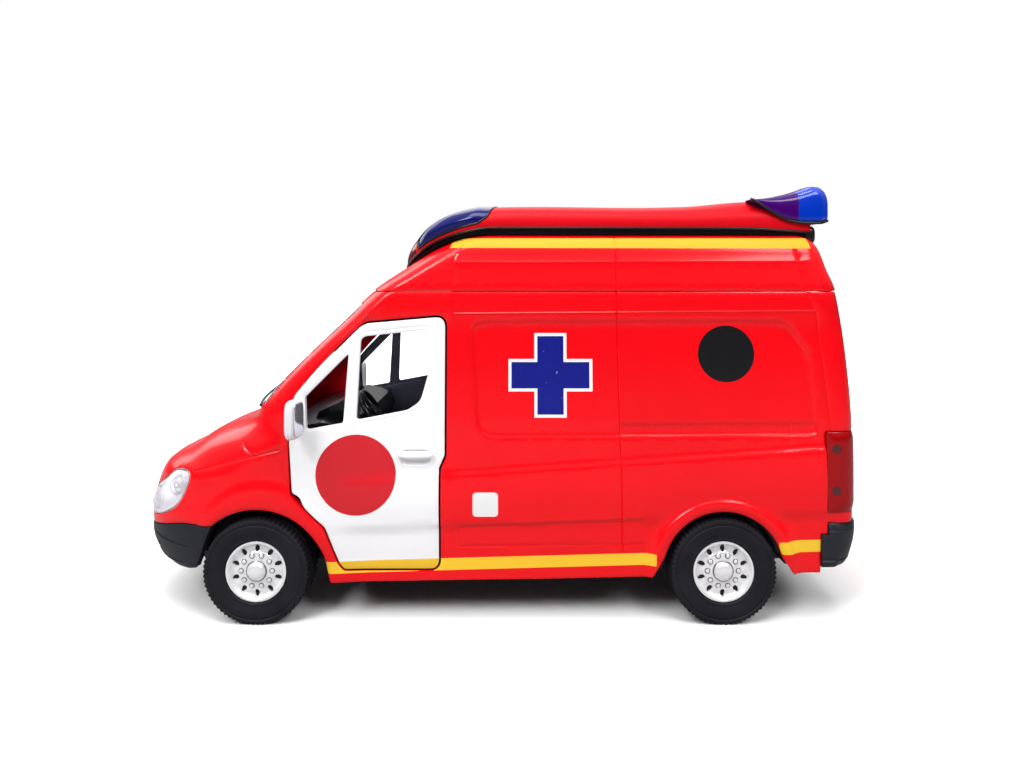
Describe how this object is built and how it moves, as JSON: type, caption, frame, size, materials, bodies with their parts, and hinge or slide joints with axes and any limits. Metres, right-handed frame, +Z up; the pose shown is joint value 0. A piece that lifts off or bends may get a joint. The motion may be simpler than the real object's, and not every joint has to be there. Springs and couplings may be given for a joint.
{
  "type": "toy ambulance van",
  "caption": "Toy high-roof ambulance van with a hollow body, opening cab and rear doors, roof beacons and free-rolling wheels on steel axles.",
  "frame": {"origin": "on the ground under the middle of the length and width", "axes": "+X forward, +Y to the vehicle's left, +Z up; wheels stand on z = 0"},
  "size_m": [0.1464, 0.0642, 0.0858],
  "materials": {
    "red_paint": "gloss",
    "red_plastic": "gloss",
    "white_paint": "gloss",
    "white_plastic": "gloss",
    "black_plastic": "satin",
    "trim_plastic": "satin",
    "motor_case": "satin",
    "clear_plastic": "polished",
    "lamp_clear": "polished",
    "lamp_red": "polished",
    "beacon_dark_blue": "polished",
    "beacon_blue": "polished",
    "chrome_plastic": "polished",
    "tyre_rubber": "matte",
    "steel": "satin"
  },
  "bodies": {
    "van": {"body_shell": "red_paint", "high_roof": "red_paint", "windscreen": "clear_plastic", "grille": "black_plastic", "left_headlight": "lamp_clear", "right_headlight": "lamp_clear", "left_tail_light": "lamp_red", "right_tail_light": "lamp_red", "front_bumper": "black_plastic", "rear_bumper": "black_plastic", "chassis": "black_plastic", "pullback_motor": "motor_case", "interior_floor": "trim_plastic", "bulkhead": "trim_plastic", "dashboard": "trim_plastic", "steering_wheel": "trim_plastic", "driver_seat": "trim_plastic", "passenger_seat": "trim_plastic", "hinge_pins": "steel", "roof_fairing": "red_plastic", "fairing_base": "black_plastic", "left_front_beacon": "beacon_dark_blue", "right_front_beacon": "beacon_dark_blue", "left_rear_beacon": "beacon_blue", "right_rear_beacon": "beacon_blue"},
    "left_cab_door": {"left_door": "white_paint", "left_door_card": "trim_plastic", "left_mirror": "white_plastic"},
    "right_cab_door": {"right_door": "white_paint", "right_door_card": "trim_plastic", "right_mirror": "white_plastic"},
    "left_back_door": {"left_rear_door": "red_paint", "left_rear_glass": "clear_plastic"},
    "right_back_door": {"right_rear_door": "red_paint", "right_rear_glass": "clear_plastic"},
    "front_wheels": {"front_axle": "steel", "left_front_rim": "chrome_plastic", "right_front_rim": "chrome_plastic", "left_front_tyre": "tyre_rubber", "right_front_tyre": "tyre_rubber"},
    "rear_wheels": {"rear_axle": "steel", "left_rear_rim": "chrome_plastic", "right_rear_rim": "chrome_plastic", "left_rear_tyre": "tyre_rubber", "right_rear_tyre": "tyre_rubber"}
  },
  "joints": [
    {"name": "front_wheels_spin", "type": "hinge", "parent": "van", "child": "front_wheels", "pos_m": [0.0452, 0, 0.01025], "axis": [0, 1, 0], "continuous": true},
    {"name": "rear_wheels_spin", "type": "hinge", "parent": "van", "child": "rear_wheels", "pos_m": [-0.0452, 0, 0.01025], "axis": [0, 1, 0], "continuous": true},
    {"name": "left_door_hinge", "type": "hinge", "parent": "van", "child": "left_cab_door", "pos_m": [0.0372, 0.026, 0.034], "axis": [0, 0, -1], "range_deg": [0, 60]},
    {"name": "right_door_hinge", "type": "hinge", "parent": "van", "child": "right_cab_door", "pos_m": [0.0372, -0.026, 0.034], "axis": [0, 0, 1], "range_deg": [0, 60]},
    {"name": "left_rear_door_hinge", "type": "hinge", "parent": "van", "child": "left_back_door", "pos_m": [-0.0705, 0.0204, 0.03], "axis": [0, 0, -1], "range_deg": [0, 90]},
    {"name": "right_rear_door_hinge", "type": "hinge", "parent": "van", "child": "right_back_door", "pos_m": [-0.0705, -0.0204, 0.03], "axis": [0, 0, 1], "range_deg": [0, 90]}
  ]
}
